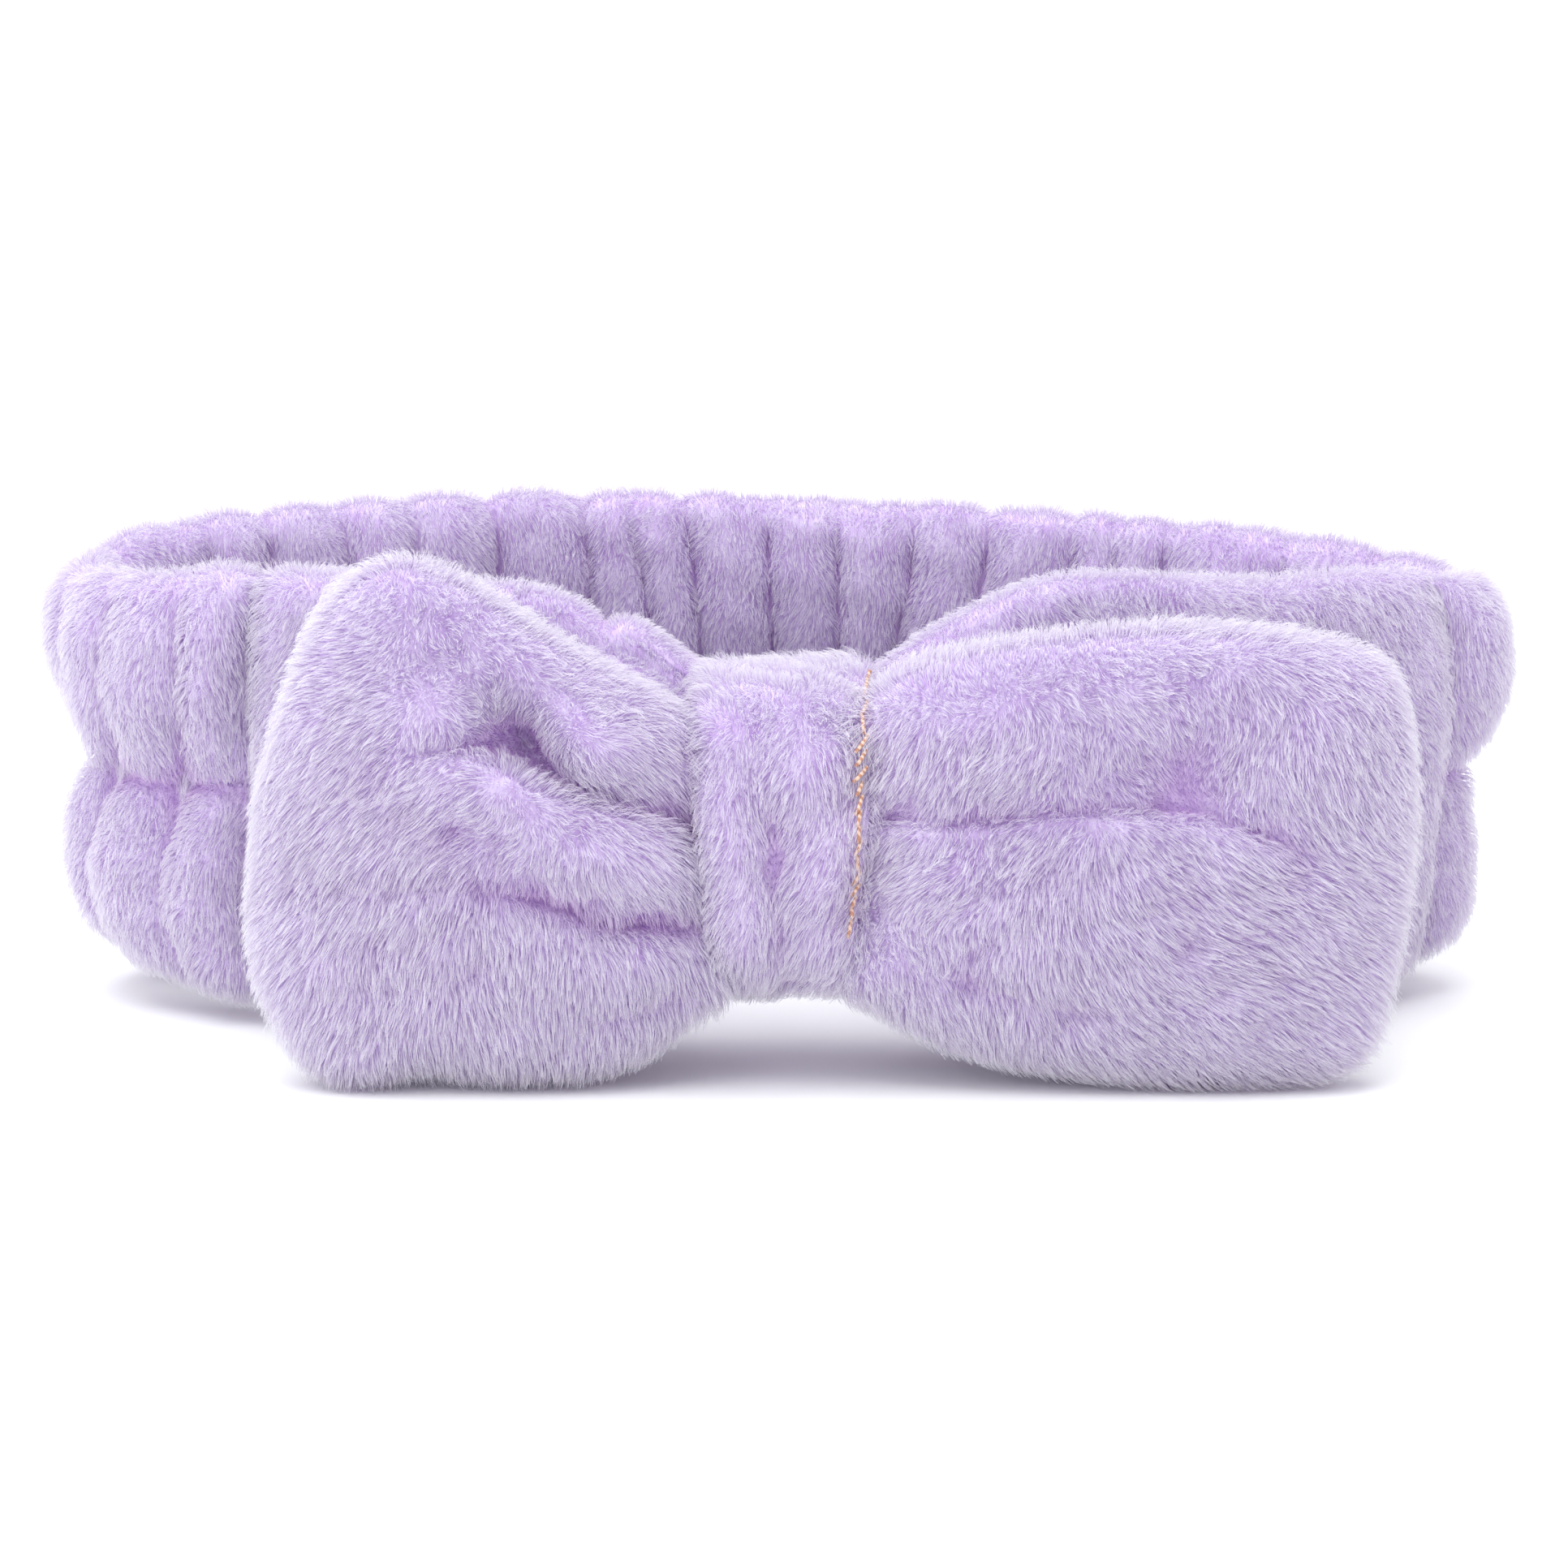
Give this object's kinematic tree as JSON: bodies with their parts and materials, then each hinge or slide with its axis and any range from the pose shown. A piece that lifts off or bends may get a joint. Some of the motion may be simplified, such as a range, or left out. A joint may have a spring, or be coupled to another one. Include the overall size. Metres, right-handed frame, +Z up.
{
  "type": "spa headband",
  "caption": "Stretchy plush headband for keeping hair off the face: a gathered elastic tube pinched in front by a wrapped knot that holds a padded bow.",
  "frame": {"origin": "bottom centre of the whole object's box, on the surface that the band stands on", "axes": "+X to the right seen from the front, the bow faces -Y, +Z up"},
  "size_m": [0.21, 0.109, 0.0766],
  "materials": {
    "plush": "short-pile lilac coral fleece, pile about 4 mm, brushed downwards",
    "plush_inner": "the same lilac coral fleece on the side next to the head, pile pressed flatter",
    "plush_knot": "short-pile lilac coral fleece, pile combed along the strip",
    "plush_bow": "lilac coral fleece, pile about 5 mm, swirled",
    "elastic": "knitted flat elastic, off-white, ribbed along its length",
    "thread_lilac": "twisted polyester sewing thread, lilac",
    "thread_tan": "twisted polyester sewing thread, tan"
  },
  "bodies": {
    "front": {"front_outer_panel": "plush", "front_inner_panel": "plush_inner", "front_top_seam": "thread_lilac", "front_bottom_seam": "thread_lilac", "left_side_seam": "thread_lilac", "right_side_seam": "thread_lilac", "knot_wrap": "plush_knot", "knot_seam_stitches": "thread_tan", "knot_back_stitches": "thread_tan", "bow_centre": "plush_bow", "bow_gather_thread": "thread_lilac"},
    "rear_band": {"rear_outer_panel": "plush", "rear_inner_panel": "plush_inner", "rear_top_seam": "thread_lilac", "rear_bottom_seam": "thread_lilac", "elastic_tape": "elastic", "channel_stitches_outer": "thread_lilac", "channel_stitches_inner": "thread_lilac"},
    "left_wing": {"left_wing_front_panel": "plush_bow", "left_wing_back_panel": "plush_bow", "left_wing_edge_seam": "thread_lilac"},
    "right_wing": {"right_wing_front_panel": "plush_bow", "right_wing_back_panel": "plush_bow", "right_wing_edge_seam": "thread_lilac"}
  },
  "joints": [
    {"name": "band_stretch", "type": "slide", "parent": "front", "child": "rear_band", "axis": [0, 1, 0], "range_m": [0, 0.045], "stiffness_N_per_m": 120, "deforming": ["elastic_tape"]},
    {"name": "left_wing_fold", "type": "hinge", "parent": "front", "child": "left_wing", "pos_m": [-0.0123, -0.05, 0.035], "axis": [0, 0, 1], "range_deg": [0, 50], "stiffness_Nm_per_rad": 0.02},
    {"name": "right_wing_fold", "type": "hinge", "parent": "front", "child": "right_wing", "pos_m": [0.0123, -0.05, 0.035], "axis": [0, 0, -1], "range_deg": [0, 50], "stiffness_Nm_per_rad": 0.02}
  ]
}
